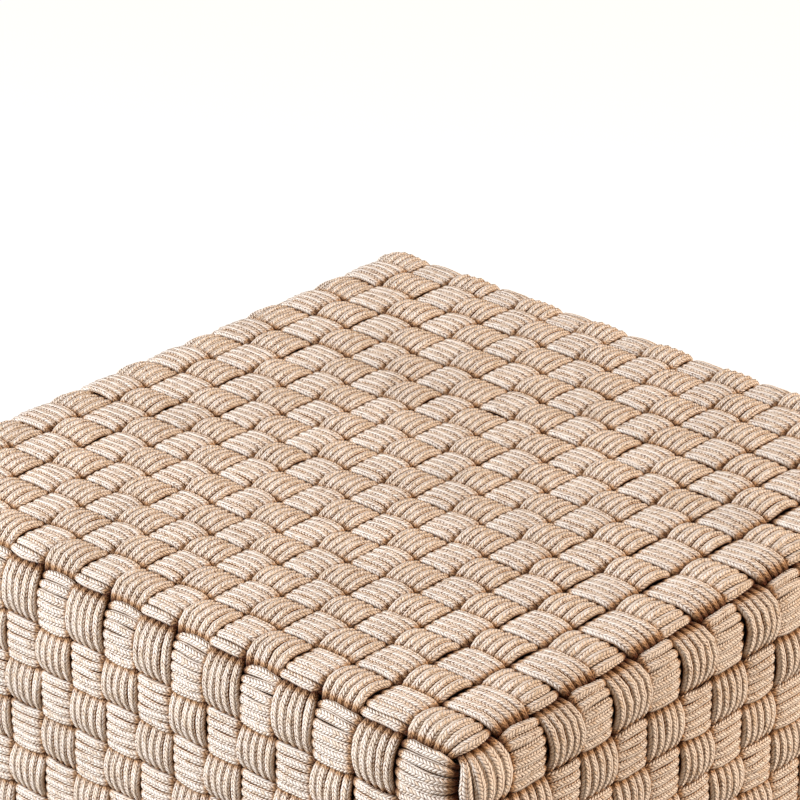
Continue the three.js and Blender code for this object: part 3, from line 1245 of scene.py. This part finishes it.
@dataclass(frozen=True)
class Studio:
    """A pale floor that runs out of sight, a soft lamp, a warm reflector and a dim room."""

    floor_half: float = 20.0
    aim: Point = (-0.0716, 0.0596, 0.3976)
    azimuth: float = 42.436
    elevation: float = 25.518
    distance: float = 2.1986
    focal_pixels: float = 3814.8
    sensor: float = 36.0
    clip: Pair = (0.05, 100.0)
    key: SoftLamp = SoftLamp("key_lamp", -29.0, 28.5, 3.0, 1.8, 142.0, "#F0F7FF")
    bounce: SoftLamp = SoftLamp("warm_reflector", 131.0, 21.0, 3.0, 0.5, 89.0, "#FFEDDC")
    room_colour: str = "#FFD4A8"
    room_strength: float = 0.34
    floor_colour: str = "#A8A5A0"
    floor_lift: float = 0.75

    def camera(self) -> None:
        """Places the camera by its angles round the point it looks at, with a fitting lens."""
        data = bpy.data.cameras.new("photo_camera")
        data.sensor_width = self.sensor
        data.lens = self.focal_pixels * self.sensor / RENDER_SIDE
        data.clip_start, data.clip_end = self.clip
        place = facing(self.aim, (self.azimuth, self.elevation), self.distance)
        bpy.context.scene.camera = add_object("photo_camera", data, place)

    def seen(self, add: Adder) -> Link:
        """Finds what the camera sees, straight, in a gloss or through glass.

        Args:
            add: adds a node to the material or the world.

        Returns:
            One for what it sees, and else nought.
        """
        path = add("LightPath").outputs
        straight, gloss = path["Is Camera Ray"], path["Is Glossy Ray"]
        first = add("Math", straight, gloss, operation="MAXIMUM")
        return add("Math", first, path["Is Transmission Ray"], operation="MAXIMUM")

    def room(self) -> None:
        """Lights the room evenly and shows it white to the camera."""
        world = bpy.data.worlds.new("studio_room")
        bpy.context.scene.world = world
        world.use_nodes = True
        world.node_tree.nodes.clear()
        add = partial(add_node, world.node_tree)
        glow = add("Background", linear(self.room_colour), self.room_strength)
        white = add("Background", linear(WHITE), 1.0)
        add("OutputWorld", add("MixShader", self.seen(add), glow, white))

    def floor(self) -> None:
        """Lays the floor, which takes the shadow and is lifted to white for the camera only."""
        half = self.floor_half
        mesh = bpy.data.meshes.new("studio_floor")
        corners = [(-half, -half, 0), (half, -half, 0), (half, half, 0), (-half, half, 0)]
        mesh.from_pydata(corners, [], [(0, 1, 2, 3)])
        material, add = blank_material("matt_white_floor")
        paint = add("BsdfDiffuse", linear(self.floor_colour))
        lifted = add("Math", self.seen(add), self.floor_lift, operation="MULTIPLY")
        glow = add("Emission", linear(WHITE), lifted)
        add("OutputMaterial", add("AddShader", paint, glow))
        mesh.materials.append(material)
        add_object("studio_floor", mesh)

    def build(self) -> None:
        """Sets up the picture: view transform, camera, lamps, room and floor."""
        bpy.context.scene.view_settings.view_transform = "Standard"
        self.camera()
        self.key.hang()
        self.bounce.hang()
        self.room()
        self.floor()
        LOG.info("studio: camera at azimuth %.1f, elevation %.1f", self.azimuth, self.elevation)


def main() -> None:
    """Loads the frame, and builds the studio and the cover."""
    logging.basicConfig(level=logging.INFO, format="%(name)s: %(message)s")
    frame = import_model()
    Studio().build()
    FrameFinish().apply(frame["nodes"])
    sizes = FrameSizes.measured()
    cord = CordSizes()
    ropes = {rope_shading: rope.material(cord.girth) for rope_shading, rope in ROPES.items()}
    WovenCover(sizes, cord).build(ropes)


if __name__ == "__main__":
    main()
